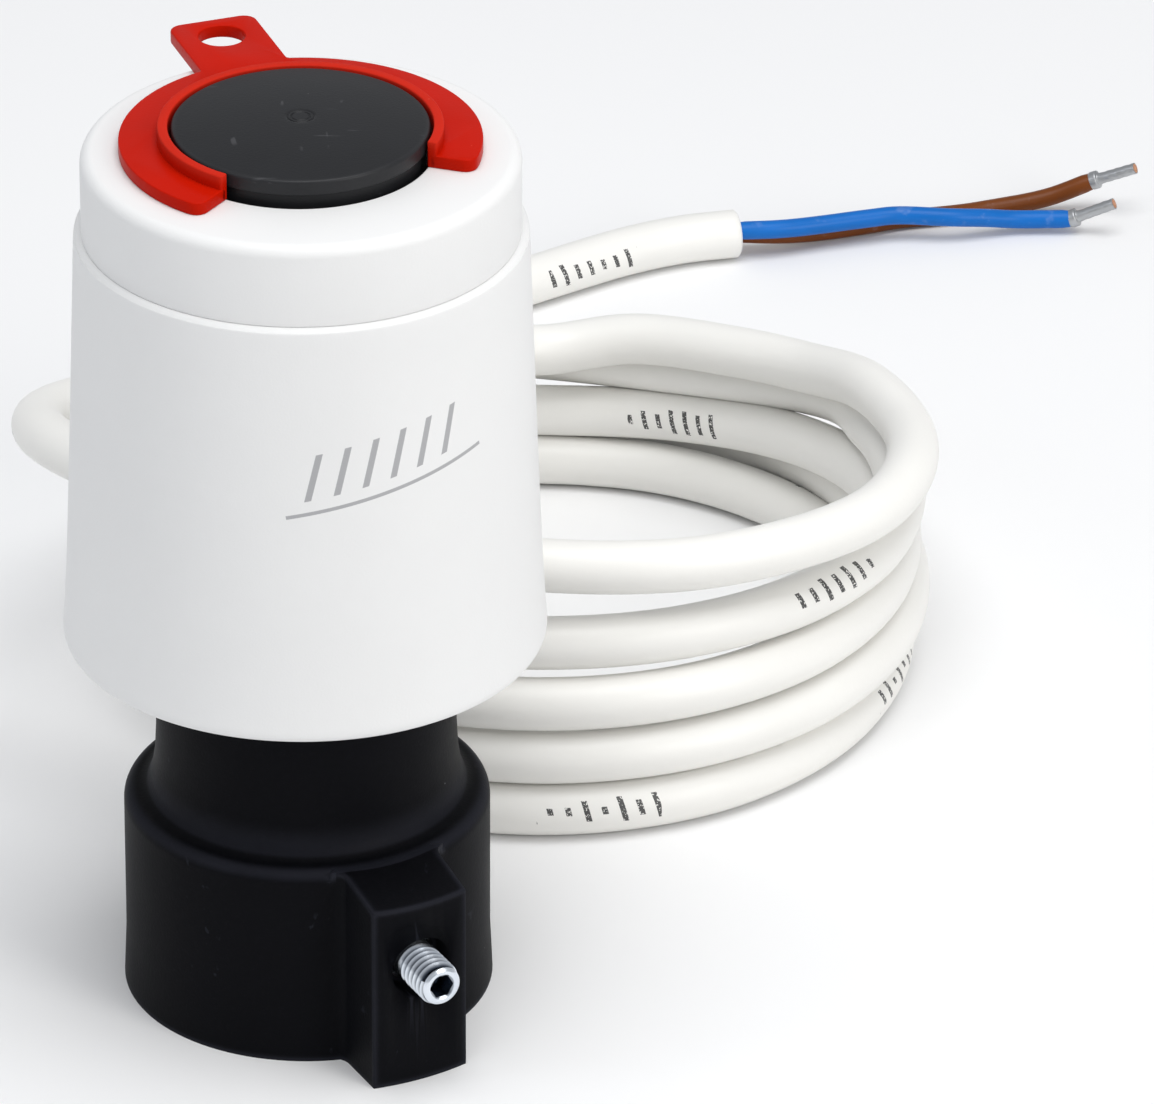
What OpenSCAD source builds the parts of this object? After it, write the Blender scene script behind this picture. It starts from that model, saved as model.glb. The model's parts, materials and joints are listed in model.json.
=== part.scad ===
// Electrothermal actuator head for a radiator valve: white bell housing on a black clamp adapter,
// red lock clip and black position disc on top, two-core cable leaving at the back.
// The valve axis is Z. The adapter's lower face is z = 0, and the set screw faces roughly -Y.

/* [Housing] */
// Largest outer radius of the bell housing
body_r = 21.6; // [21.3:0.1:22]
// Height of the housing's lower rim above the adapter's lower face
body_z = 35.4; // [35:0.1:36]
// Height of the shoulder under the cap
shoulder_z = 75.2; // [74.6:0.1:75.6]
// Wall thickness of the housing
wall = 1.7; // [1.4:0.1:1.9]
// Outer radius of the cap
cap_r = 19.3; // [19:0.1:19.4]
// Height of the cap's top face
cap_z = 82.8; // [82.4:0.1:83.2]
// Radius of the window that the position disc moves in
window_r = 11.6; // [11.6:0.1:11.9]

/* [Position disc and lock clip] */
// Radius of the position disc
disc_r = 11.3; // [11:0.1:11.3]
// Thickness of the lock clip's plate
clip_t = 1.2; // [1:0.1:1.4]
// Outer radius of the lock clip
clip_r = 15.9; // [15.4:0.1:16.2]
// Distance of the pull eye from the valve axis
eye_dist = 21.6; // [21:0.1:22]
// Radius of the pull eye
eye_r = 2.1; // [1.8:0.1:2.3]
// Turn of the lock clip about the valve axis
clip_turn = 18.7; // [15:0.1:22]

/* [Valve adapter] */
// Radius of the bore that takes the valve neck
bore_r = 13.0; // [12.8:0.1:13.2]
// Depth of that bore
bore_depth = 14; // [13:0.5:14]
// Outer radius of the collar
collar_r = 16.5; // [16.3:0.1:16.7]
// Height of the collar
collar_h = 19.4; // [19:0.1:19.6]
// Outer radius of the neck between collar and housing
neck_r = 13.5; // [13.4:0.1:13.6]
// Width of the set screw's boss
boss_w = 9.28; // [9:0.02:9.6]
// Distance of the boss face from the valve axis
boss_face = 22.3; // [22:0.1:22.6]
// Turn of the boss from the -Y direction
boss_turn = 26.8; // [20:0.1:32]

/* [Set screw] */
// Radius of the screw over its thread
screw_r = 2.0; // [2]
// Length of the screw
screw_len = 12; // [10:0.5:12]
// Distance of the screw's outer end from the valve axis
screw_end = 26.2; // [25:0.1:27]
// Height of the screw's axis
screw_z = 11.6; // [11.4:0.1:11.8]

/* [Drive] */
// Radius of the push pin
pin_r = 2.5; // [2.4:0.1:2.6]
// Radius of the wax capsule
capsule_r = 7.2; // [6.8:0.1:7.4]
// Radius of the capsule's piston
piston_r = 1.5; // [1.4:0.1:1.6]
// Mean radius of the closing spring
spring_r = 12.6; // [12.4:0.1:12.7]
// Turns of the closing spring
spring_turns = 6; // [5:1:7]

/* [Cable] */
// Diameter of the cable's sheath
cable_d = 5; // [4.8:0.1:5.2]
// Diameter of one insulated wire
wire_d = 1.9; // [1.8:0.1:2]

/* [Hidden] */
$fn = 96;
eps = 0.01;

white = [0.93, 0.93, 0.92];
black = [0.06, 0.06, 0.07];
red = [0.78, 0.10, 0.04];
steel = [0.75, 0.76, 0.78];
brass = [0.80, 0.65, 0.32];
nylon = [0.85, 0.83, 0.76];

// Adapter
web_t = 3;                       // floor between the bore and the neck
tube_r = 11;                     // inner radius of the neck
tube_top = 44;
nut_w = 7;
nut_t = 2.4;
nut_s = 16.5;                    // distance of the nut's inner face from the valve axis
screw_hole_r = screw_r + 0.3;
recess_r = 2.9;
recess_s = 20;
root_r = 1.5;                    // fillet between boss and collar

// Housing
plate_z = 37;
plate_t = 1.5;
plate_hole_r = neck_r + 0.1;
cable_z = 42;                    // height of the cable exit
gland_hole_r = 4;
spigot_r = 18.2;                 // part of the cap that sits inside the housing
spigot_z = 71;
cap_wall = 1.5;
seal_z = 73;
seal_r = 0.5;
guide_z = 77;                    // lower end of the window's guide tube

// Position disc and clip
disc_z = 83.85;
disc_edge_t = 1.35;
disc_dome = 0.8;
skirt_r = 10.9;
skirt_z = 78;
rim_w = 0.9;                     // raised rim round the disc
rim_top = 85.3;
clip_half_gap = 52;              // half angle of the clip's opening
tab_w = 8;
tab_end_r = 1.2;

// Drive: heights along the valve axis
yoke_z = 38;
bridge_z = 72;
bridge_t = 2.5;
ring_z = 55;
ring_t = 1.5;
leg_ri = 8.8;
leg_ro = 10.4;
leg_w = 8;
seat_z = 76.4;
spring_wire = 0.8;
carrier_z = 46;
carrier_t = 3;
ptc_r = 6;
ptc_z = 47.4;
ptc_t = 2;
contact_t = 0.4;
capsule_z = ptc_z + ptc_t + contact_t;
capsule_top = 58.5;
wax_z = 50.8;
wax_top = 56;
guide_top = 65;
running = 0.05;                  // radial clearance of sliding pins
tag_x = 15.6;                    // where the inner leads are crimped

// Strain relief
relief_y = 41;
relief_root_r = 4.4;
relief_tip_r = 3.1;
relief_flange_r = 5;

// Cable coil: a stack of turns that leans a little and lies lower at the back
coil_c = [23, 60];
coil_ri = 30.5;
coil_ro = 41;
coil_front_h = 20.5;
coil_back_h = 12;

// Routes of the stretches that are not coiled
LEAD = [[0, 41, 42], [0.4, 50, 41.2], [1.5, 60, 38], [4, 70, 32.5], [8.5, 79.5, 26],
        [14.6, 87.7, 18.7], [23.1, 92.3, 15], [32.6, 91.8, 16.4], [42.1, 86.8, 17.5], [49.2, 80.6, 18.8],
        [54.3, 71.7, 21.4], [57.6, 61, 22.3], [57, 50, 23.6], [53, 40.5, 24.4], [45.5, 33.5, 25],
        [35.5, 29, 25.4], [24.5, 27.6, 26], [13, 27.6, 27.4], [2, 28.6, 29.4], [-9, 31.8, 31],
        [-18.5, 37.6, 31.6], [-24, 45.5, 30.6], [-24.6, 55, 27.8], [-20, 65, 24.4], [-12, 74.5, 21.2],
        [-2.5, 83, 18.4], [7.9, 90.9, 15.5], [20.5, 98.7, 11.6]];
TAIL = [[-13, 59.5, 2.5], [-13.4, 70, 2.5], [-12.4, 81, 2.5], [-9.4, 92, 2.5], [-4.4, 102.5, 2.5],
        [2, 112, 2.5], [9.4, 120.5, 2.5], [17, 127.5, 2.5], [25, 133, 2.5], [32.8, 138, 2.5],
        [39, 140.8, 2.5], [45, 142.2, 2.5]];
BLUE = [[45, 141.2, 3.3], [49.4, 141.9, 3.1], [53.3, 143.1, 2.9], [58.5, 144.5, 2.9],
        [62, 145.2, 2.9], [67.2, 145, 2.7], [70.9, 145.8, 2.2], [74.4, 146.6, 1.6], [79.9, 146.6, 1.6]];
BROWN = [[45, 143.1, 2], [49.5, 143.6, 1.6], [53.4, 145.1, 1.1], [58.7, 146.8, 1], [62, 148, 1],
         [68, 149.2, 1], [71.6, 150.3, 1], [77.5, 151.3, 1.7], [82.4, 151.6, 3.5]];
BLUE_IN = [[1.2, 17, 42], [6, 16, 43], [11.2, 12, 46], [14.8, 6.5, 48.5], [15.6, 1.5, 49.6]];
BROWN_IN = [[-1.2, 17, 42], [-6, 16, 43], [-11.2, 12, 44.5], [-14.8, 6.5, 46.5], [-15.6, 1.5, 47.2]];
ferrule_collar_l = 0.8;
ferrule_l = 5;
ferrule_r = 0.6;

function unit(v) = v / norm(v);
function tangent(path, i) =
    unit(path[min(i + 1, len(path) - 1)] - path[max(i - 1, 0)]);
// Rings of a tube along a path that is never vertical
function tube_rings(path, r, sides) = [
    for (i = [0 : len(path) - 1])
        let (t = tangent(path, i), s = unit(cross(t, [0, 0, 1])), u = cross(s, t))
            for (k = [0 : sides - 1])
                path[i] + r * (cos(360 * k / sides) * s + sin(360 * k / sides) * u)];
function tube_faces(rings, sides) = concat(
    [[for (k = [sides - 1 : -1 : 0]) k]],
    [for (i = [0 : rings - 2], k = [0 : sides - 1])
        [i * sides + k, i * sides + (k + 1) % sides,
         (i + 1) * sides + (k + 1) % sides, (i + 1) * sides + k]],
    [[for (k = [0 : sides - 1]) (rings - 1) * sides + k]]);

module tube(path, r, sides) {
    polyhedron(tube_rings(path, r, sides), tube_faces(len(path), sides), convexity = 10);
}

module ring(ri, ro, z, h) {
    translate([0, 0, z]) difference() {
        cylinder(r = ro, h = h);
        translate([0, 0, -1]) cylinder(r = ri, h = h + 2);
    }
}

// A cylinder that lies along -Y, from one distance of the valve axis to another
module radial(r, from, to, z) {
    translate([0, -from, z]) rotate([90, 0, 0]) cylinder(r = r, h = to - from);
}

module collar_fillet() {
    side = boss_w / 2;
    cx = side + root_r;
    cs = sqrt(pow(collar_r + root_r, 2) - cx * cx);
    touch = [cx, cs] * collar_r / (collar_r + root_r);
    linear_extrude(collar_h) difference() {
        polygon([[side - 1, -cs], [cx, -cs], [touch[0], -touch[1]], [side - 1, 1 - touch[1]]]);
        translate([cx, -cs]) circle(r = root_r);
    }
}

module boss() intersection() {
    translate([-10, 0, 0]) rotate([90, 0, 90]) linear_extrude(20)
        polygon([[-14, 0], [-23, 0], [-23, 17.8], [-16.2, collar_h - 0.1], [-14, collar_h - 0.1]]);
    union() {
        translate([-boss_w / 2, -boss_face, 0]) cube([boss_w, boss_face - 10, collar_h]);
        collar_fillet();
        mirror([1, 0, 0]) collar_fillet();
    }
    cylinder(r = boss_face, h = 30);
}

module adapter_profile() {
    edge = 1.3;
    difference() {
        union() {
            polygon([[0, 0], [collar_r + 0.22, 0], [collar_r, 5], [collar_r, collar_h - edge],
                     [collar_r - edge, collar_h - edge], [collar_r - edge, collar_h],
                     [neck_r + 1, collar_h + 0.2], [neck_r + 0.5, collar_h + 1.3],
                     [neck_r + 0.15, collar_h + 3.4], [neck_r, collar_h + 6.4],
                     [neck_r, tube_top], [0, tube_top]]);
            translate([collar_r - edge, collar_h - edge]) intersection() {
                circle(r = edge);
                square(edge);
            }
            translate([0, plate_z + plate_t]) square([16, 2]);
        }
        translate([-1, -1]) square([bore_r + 1, bore_depth + 1]);
        translate([-1, 0]) square([pin_r + 0.7 + 1, tube_top]);
        translate([-1, bore_depth + web_t]) square([tube_r + 1, tube_top]);
    }
}

module valve_adapter() color(black) {
    difference() {
        union() {
            rotate_extrude() adapter_profile();
            rotate([0, 0, boss_turn]) difference() {
                boss();
                translate([0, 0, -1]) cylinder(r = bore_r + 1.5, h = 40);
            }
        }
        rotate([0, 0, boss_turn]) {
            radial(screw_hole_r, bore_r - 2, boss_face + 1, screw_z);
            radial(recess_r, recess_s, boss_face + 1, screw_z);
            translate([-nut_w / 2 - 0.05, -nut_s - nut_t - 0.05, -1])
                cube([nut_w + 0.1, nut_t + 0.1, screw_z + nut_w / 2 + 1.05]);
        }
    }
}

module set_screw() color(steel) rotate([0, 0, boss_turn]) {
    chamfer = 0.45;
    socket_r = 1.15;
    difference() {
        translate([0, -screw_end + screw_len, screw_z]) rotate([90, 0, 0]) rotate_extrude()
            polygon([[0, 0], [screw_r - 0.7, 0], [screw_r, 0.7], [screw_r, screw_len - chamfer],
                     [screw_r - chamfer, screw_len], [0, screw_len]]);
        translate([0, -screw_end + 2.4, screw_z]) rotate([90, 0, 0])
            cylinder(r = socket_r, h = 3, $fn = 6);
    }
}

module square_nut() color(steel) rotate([0, 0, boss_turn]) difference() {
    translate([-nut_w / 2, -nut_s - nut_t, screw_z - nut_w / 2]) cube([nut_w, nut_t, nut_w]);
    radial(screw_r + running, nut_s - 1, nut_s + nut_t + 1, screw_z);
}

module guide_bush() color(nylon) ring(pin_r + running, tube_r, 20, 7);

module push_pin() color(steel) translate([0, 0, 15]) cylinder(r = pin_r, h = yoke_z - 15);

// The plate has a notch for the flange of the strain relief
module bottom_plate() color(white) difference() {
    ring(plate_hole_r, body_r - wall - 0.35, plate_z, plate_t);
    translate([0, 16.8, cable_z]) rotate([-90, 0, 0]) cylinder(r = relief_flange_r + 0.2, h = 5);
}

// Outline of the bell: a slow flare that quickens towards the lower rim
module bell_outline() {
    polygon([[0, body_z], [body_r - 0.55, body_z], [body_r - 0.2, body_z + 0.2],
             [body_r, body_z + 0.8], [body_r - 0.12, body_z + 2.4], [body_r - 0.3, body_z + 5.2],
             [body_r - 0.5, body_z + 9.2], [body_r - 0.7, body_z + 14],
             [body_r - 0.95, body_z + 20.5], [body_r - 1.2, body_z + 27.5],
             [body_r - 1.45, body_z + 34.5], [body_r - 1.6, shoulder_z - 0.8],
             [body_r - 1.75, shoulder_z - 0.25], [body_r - 2.1, shoulder_z], [0, shoulder_z]]);
}

module body_shell() color(white) difference() {
    rotate_extrude() difference() {
        bell_outline();
        polygon([[-1, body_z - 1], [body_r - wall - 0.35, body_z - 1],
                 [body_r - wall - 0.35, body_z + 5], [body_r - wall - 1.2, body_z + 20],
                 [spigot_r + 0.1, spigot_z - 3], [spigot_r + 0.1, shoulder_z + 1],
                 [-1, shoulder_z + 1]]);
    }
    translate([0, 17, cable_z]) rotate([-90, 0, 0]) cylinder(r = gland_hole_r, h = 8);
}

module top_cap() color(white) rotate_extrude() {
    edge = 1.1;
    difference() {
        union() {
            translate([0, shoulder_z]) square([cap_r, cap_z - edge - shoulder_z]);
            translate([0, shoulder_z]) square([cap_r - edge, cap_z - shoulder_z]);
            translate([cap_r - edge, cap_z - edge]) intersection() {
                circle(r = edge);
                square(edge);
            }
            translate([0, spigot_z]) square([spigot_r, shoulder_z - spigot_z]);
        }
        translate([-1, spigot_z - 1]) square([spigot_r - cap_wall + 1, guide_z - spigot_z + 1]);
        translate([window_r + 2, spigot_z]) square([spigot_r - cap_wall - window_r - 2,
                                                    cap_z - cap_wall - spigot_z]);
        translate([-1, 0]) square([window_r + 1, cap_z + 1]);
        translate([spigot_r - 0.95, seal_z - 0.6]) square([2, 1.2]);
    }
}

module cap_seal() color(black) rotate_extrude() translate([spigot_r + 0.1 - seal_r, seal_z])
    circle(r = seal_r);

module clip_plan() {
    difference() {
        union() {
            circle(r = clip_r);
            translate([-tab_w / 2, 10]) square([tab_w, eye_dist + 3.4 - 10 - tab_end_r]);
            translate([-tab_w / 2 + tab_end_r, 10]) square([tab_w - 2 * tab_end_r, eye_dist + 3.4 - 10]);
            for (side = [-1, 1])
                translate([side * (tab_w / 2 - tab_end_r), eye_dist + 3.4 - tab_end_r])
                    circle(r = tab_end_r);
        }
        circle(r = disc_r + 0.3);
        gap_sector(clip_half_gap);
    }
}

module gap_sector(half) {
    far = 40;
    polygon([[0, 0], [-far * sin(half), -far * cos(half)], [0, -far], [far * sin(half), -far * cos(half)]]);
}

module lock_clip() color(red) rotate([0, 0, clip_turn]) difference() {
    union() {
        translate([0, 0, cap_z]) linear_extrude(clip_t) clip_plan();
        translate([0, 0, cap_z]) linear_extrude(rim_top - cap_z) difference() {
            circle(r = disc_r + 0.3 + rim_w);
            circle(r = disc_r + 0.3);
            gap_sector(clip_half_gap);
        }
    }
    translate([0, eye_dist, cap_z - 1]) cylinder(r = eye_r, h = clip_t + 2);
}

module indicator_disc() color(black) rotate_extrude() {
    cup_t = 1.2;
    top = disc_z + disc_edge_t;
    difference() {
        union() {
            polygon([[0, disc_z], [disc_r, disc_z], [disc_r, top - 0.35], [disc_r - 0.35, top],
                     [disc_r * 0.72, top + disc_dome * 0.5], [disc_r * 0.4, top + disc_dome * 0.84],
                     [0, top + disc_dome]]);
            translate([0, skirt_z]) square([skirt_r, disc_z - skirt_z + eps]);
        }
        translate([-1, skirt_z - 1]) square([skirt_r - cup_t + 1, disc_z - skirt_z + 1]);
    }
}

module indicator_stem() color(nylon)
    translate([0, 0, bridge_z + bridge_t]) cylinder(r = 3, h = disc_z - bridge_z - bridge_t);

module lift_yoke() color(nylon) {
    translate([0, 0, bridge_z]) cylinder(r = leg_ro, h = bridge_t);
    translate([0, 0, yoke_z]) cylinder(r = leg_ro, h = 2);
    ring(leg_ri, spring_r + 1, ring_z, ring_t);
    intersection() {
        ring(leg_ri, leg_ro, yoke_z, bridge_z + bridge_t - yoke_z);
        translate([-leg_w / 2, -20, 0]) cube([leg_w, 40, 100]);
    }
}

module closing_spring() color(steel) {
    steps = 10;
    low = ring_z + ring_t + spring_wire;
    rise = seat_z - spring_wire - low;
    count = spring_turns * steps;
    coil = [for (i = [0 : count])
        [spring_r * cos(360 * i / steps), spring_r * sin(360 * i / steps), low + rise * i / count]];
    tube(coil, spring_wire, 6);
}

module spring_seat() color(steel) ring(window_r + 0.1, window_r + 2.6, seat_z, guide_z - seat_z);

module capsule_bridge() color(nylon) difference() {
    union() {
        translate([0, 0, carrier_z]) cylinder(r = 7.9, h = carrier_t);
        intersection() {
            translate([-20, -4.5, tube_top]) cube([40, 9, carrier_z + carrier_t - tube_top]);
            cylinder(r = neck_r, h = 60);
        }
    }
    translate([0, 0, tube_top - 1]) cylinder(r = tube_r + 0.2, h = carrier_z - tube_top + 1);
    translate([0, 0, ptc_z - contact_t]) cylinder(r = ptc_r + 0.5, h = 10);
    translate([-20, -1.6, ptc_z - contact_t]) cube([20, 3.2, 10]);
}

module contact(z, side) {
    translate([0, 0, z]) cylinder(r = ptc_r, h = contact_t);
    translate([side > 0 ? 0 : -tag_x + 0.6, -1.4, z]) cube([tag_x - 0.6, 2.8, contact_t]);
}

module lower_contact() color(brass) contact(ptc_z - contact_t, -1);

module ptc_heater() color([0.3, 0.28, 0.27]) translate([0, 0, ptc_z]) cylinder(r = ptc_r, h = ptc_t);

module upper_contact() color(brass) contact(ptc_z + ptc_t, 1);

module wax_capsule() color(brass) rotate_extrude() difference() {
    translate([0, capsule_z]) square([capsule_r, capsule_top - capsule_z]);
    translate([-1, wax_z]) square([capsule_r, wax_top - wax_z]);
    translate([-1, wax_top]) square([piston_r + running + 1, capsule_top]);
}

module wax_charge() color([0.9, 0.85, 0.6])
    translate([0, 0, wax_z]) cylinder(r = capsule_r - 1, h = wax_top - wax_z);

module capsule_guide() color(brass)
    ring(piston_r + running, 3.6, capsule_top, guide_top - capsule_top);

module capsule_piston() color(steel) translate([0, 0, 60]) cylinder(r = piston_r, h = bridge_z - 60);

// One tag at the end of each contact, with the lead's end against it
module crimp_terminals() color(brass) {
    tag = 1.4;
    translate([tag_x - 0.6, -1.4, ptc_z + ptc_t - 0.5]) cube([tag, 2.8, tag]);
    translate([-tag_x + 0.6 - tag, -1.4, ptc_z - contact_t - 0.5]) cube([tag, 2.8, tag]);
}

module blue_inner_lead() color([0.1, 0.35, 0.75]) tube(BLUE_IN, wire_d / 2, 8);

module brown_inner_lead() color([0.4, 0.2, 0.08]) tube(BROWN_IN, wire_d / 2, 8);

// The relief is moulded on the cable: inner flange, groove for the housing wall and tapered tail
module strain_relief() color(white) translate([0, 17, cable_z]) rotate([-90, 0, 0]) rotate_extrude()
    polygon([[0, 0], [relief_flange_r, 0], [relief_flange_r, 1.5], [gland_hole_r - 0.1, 1.5],
             [gland_hole_r - 0.1, 4.6],
             [4.9, 4.6], [4.9, 6], [relief_root_r, 6.6], [relief_tip_r, relief_y - 17 - 0.4],
             [relief_tip_r - 0.3, relief_y - 17], [0, relief_y - 17]]);

module cable_lead() color(white) tube(LEAD, cable_d / 2, 10);

module cable_coil() color(white) difference() {
    translate([coil_c[0], coil_c[1], 0]) ring(coil_ri, coil_ro, 0, coil_front_h);
    slope = atan((coil_front_h - coil_back_h) / (2 * coil_ro));
    translate([coil_c[0] - 60, coil_c[1] - coil_ro, coil_front_h]) rotate([-slope, 0, 0])
        cube([120, 120, 30]);
}

module cable_tail() color(white) tube(TAIL, cable_d / 2, 10);

module blue_wire() color([0.1, 0.35, 0.75]) tube(BLUE, wire_d / 2, 8);

module brown_wire() color([0.4, 0.2, 0.08]) tube(BROWN, wire_d / 2, 8);

module ferrule(end, turn, lift) translate(end) rotate([0, 90 - lift, turn]) {
    translate([0, 0, -0.3]) cylinder(r = wire_d / 2, h = ferrule_collar_l + 0.3);
    translate([0, 0, ferrule_collar_l]) cylinder(r = ferrule_r, h = ferrule_l - ferrule_collar_l);
}

module blue_ferrule() color(steel) ferrule(BLUE[len(BLUE) - 1], -14, 27);

module brown_ferrule() color(steel) ferrule(BROWN[len(BROWN) - 1], -18, 25);

valve_adapter();
set_screw();
square_nut();
guide_bush();
push_pin();
bottom_plate();
body_shell();
top_cap();
cap_seal();
lock_clip();
indicator_disc();
indicator_stem();
lift_yoke();
closing_spring();
spring_seat();
capsule_bridge();
lower_contact();
ptc_heater();
upper_contact();
wax_capsule();
wax_charge();
capsule_guide();
capsule_piston();
crimp_terminals();
blue_inner_lead();
brown_inner_lead();
strain_relief();
cable_lead();
cable_coil();
cable_tail();
blue_wire();
brown_wire();
blue_ferrule();
brown_ferrule();
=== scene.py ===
import json
import math

import bmesh
import bpy
from bpy.props import FloatProperty, FloatVectorProperty, IntProperty, PointerProperty
from mathutils import Matrix, Vector


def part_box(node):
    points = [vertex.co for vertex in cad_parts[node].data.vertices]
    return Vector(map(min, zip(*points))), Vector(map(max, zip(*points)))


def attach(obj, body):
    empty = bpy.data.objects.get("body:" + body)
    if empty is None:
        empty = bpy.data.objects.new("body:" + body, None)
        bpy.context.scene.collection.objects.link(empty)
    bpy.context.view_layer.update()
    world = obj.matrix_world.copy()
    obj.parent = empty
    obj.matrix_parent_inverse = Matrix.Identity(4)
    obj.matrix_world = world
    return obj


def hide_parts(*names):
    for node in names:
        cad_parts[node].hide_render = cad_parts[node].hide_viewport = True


bl_info = {
    "name": "Electrothermal actuator head",
    "version": (1, 0, 0),
    "blender": (4, 5, 0),
    "location": "View3D > Sidebar > Actuator",
    "description": "Finished surfaces of an electrothermal actuator head, on its fixed frame",
    "category": "Object",
}

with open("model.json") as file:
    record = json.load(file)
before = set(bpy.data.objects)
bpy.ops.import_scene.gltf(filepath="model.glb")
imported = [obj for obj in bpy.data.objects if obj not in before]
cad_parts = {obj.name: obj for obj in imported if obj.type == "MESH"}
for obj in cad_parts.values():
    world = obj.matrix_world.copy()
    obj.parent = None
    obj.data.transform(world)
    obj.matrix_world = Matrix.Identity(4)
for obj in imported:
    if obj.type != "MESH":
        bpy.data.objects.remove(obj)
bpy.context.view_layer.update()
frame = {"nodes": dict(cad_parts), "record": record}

MM = 0.001
AXIS = Vector((0, 0, 1))

COLLAR_TOP = .0194

# The set screw's line, from the valve axis outwards
SCREW_DIRECTION = Vector((math.sin(math.radians(26.8)), -math.cos(math.radians(26.8)), 0))
SCREW_HEIGHT = .0116
SCREW_END = .0262

# Routes of the stretches of cable that aren't coiled, in metres
LEAD = [(0, .041, .042), (.0004, .05, .0412), (.0015, .06, .038), (.004, .07, .0325),
        (.0085, .0795, .026), (.0146, .0877, .0187), (.0231, .0923, .015), (.0326, .0918, .0164),
        (.0421, .0868, .0175), (.0492, .0806, .0188), (.0543, .0717, .0214), (.0576, .061, .0223),
        (.057, .05, .0236), (.053, .0405, .0244), (.0455, .0335, .025), (.0355, .029, .0254),
        (.0245, .0276, .026), (.013, .0276, .0274), (.002, .0286, .0294), (-.009, .0318, .031),
        (-.0185, .0376, .0316), (-.024, .0455, .0306), (-.0246, .055, .0278), (-.02, .065, .0244),
        (-.012, .0745, .0212), (-.0025, .083, .0184), (.0079, .0909, .0155), (.0205, .0987, .0116)]
TAIL = [(-.013, .0595, .0025), (-.0134, .07, .0025), (-.0124, .081, .0025), (-.0094, .092, .0025),
        (-.0044, .1025, .0025), (.002, .112, .0025), (.0094, .1205, .0025), (.017, .1275, .0025),
        (.025, .133, .0025), (.0328, .138, .0025), (.039, .1408, .0025), (.045, .1422, .0025)]
BLUE = [(.045, .1412, .0033), (.0494, .1419, .0031), (.0533, .1431, .0029), (.0585, .1445, .0029),
        (.062, .1452, .0029), (.0672, .145, .0027), (.0709, .1458, .0022), (.0744, .1466, .0016),
        (.0799, .1466, .0016)]
BROWN = [(.045, .1431, .002), (.0495, .1436, .0016), (.0534, .1451, .0011), (.0587, .1468, .001),
         (.062, .148, .001), (.068, .1492, .001), (.0716, .1503, .001), (.0775, .1513, .0017),
         (.0824, .1516, .0035)]

# The coil's (radius, height) in mm at each quarter turn, clockwise from the back
COIL = [(39.3, 11.1), (33.9, 17.3), (32.3, 18.2), (34.9, 17.8),
        (34.8, 7.3), (33.5, 12.3), (34.4, 12.9), (35.5, 12.8),
        (40.4, 3.4), (34.4, 7.4), (35.0, 7.6), (34.5, 7.3),
        (33.6, 2.5), (33.0, 2.5), (35.7, 2.5), (36.0, 2.5)]

# Outer line of the bell housing as (radius, height) in mm, with the radius taken from 21.6
BELL = [(-.55, 35.4), (-.2, 35.6), (0, 36.2), (-.12, 37.8), (-.3, 40.6), (-.5, 44.6), (-.7, 49.4),
        (-.95, 55.9), (-1.2, 62.9), (-1.45, 69.9), (-1.6, 74.4), (-1.75, 74.95), (-2.1, 75.2)]


# Settings

def length(name, description, default):
    return FloatProperty(name=name, description=description, default=default, unit="LENGTH",
                         precision=5)


def colour(name, description, default):
    return FloatVectorProperty(name=name, description=description, default=default,
                               subtype="COLOR", size=3, min=0, max=1)


class HousingSettings(bpy.types.PropertyGroup):
    """Sizes of the bell housing and its cap"""
    bell_radius: length("Bell radius", "Largest outer radius of the bell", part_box("body_shell")[1].x)
    cap_radius: length("Cap radius", "Outer radius of the cap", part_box("top_cap")[1].x)
    cap_top: length("Cap top", "Height of the cap's top face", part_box("top_cap")[1].z)
    window: length("Window radius", "Radius of the window round the disc", .0116)
    colour: colour("Plastic colour", "Colour of the bell and the cap", (.76, .76, .755))
    mark_colour: colour("Mark colour", "Colour of the printed mark", (.37, .37, .38))


class DiscSettings(bpy.types.PropertyGroup):
    """Sizes of the position disc"""
    radius: length("Disc radius", "Outer radius of the disc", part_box("indicator_disc")[1].x)
    dome: length("Dome height", "Rise of the disc from its rim to its centre", .0008)
    colour: colour("Disc colour", "Colour of the disc", (.0105, .0110, .0125))


class ClipSettings(bpy.types.PropertyGroup):
    """Sizes of the lock clip"""
    radius: length("Clip radius", "Outer radius of the clip", .0159)
    thickness: length("Clip thickness", "Thickness of the clip's plate", .0012)
    opening: FloatProperty(name="Opening", description="Angle of the clip's open side",
                           default=math.radians(104), subtype="ANGLE")
    turn: FloatProperty(name="Turn", description="Turn of the clip about the valve axis",
                        default=math.radians(18.7), subtype="ANGLE")
    eye_distance: length("Eye distance", "Distance of the pull eye from the valve axis", .0216)
    eye_radius: length("Eye radius", "Radius of the pull eye", .0021)
    colour: colour("Clip colour", "Colour of the clip", (.46, .008, .001))


class AdapterSettings(bpy.types.PropertyGroup):
    """Finish of the valve adapter"""
    edge: length("Edge radius", "Rounding of the adapter's moulded edges", .0004)
    colour: colour("Adapter colour", "Colour of the adapter", (.0030, .0032, .0044))


class ScrewSettings(bpy.types.PropertyGroup):
    """Sizes of the set screw"""
    radius: length("Screw radius", "Radius over the thread", .002)
    core: length("Core radius", "Radius at the bottom of the thread", .00160)
    pitch: length("Pitch", "Distance from one thread to the next", .0007)
    length: length("Screw length", "Length of the screw", .012)
    flats: length("Socket size", "Distance across the flats of the hexagon socket", .002)


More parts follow.
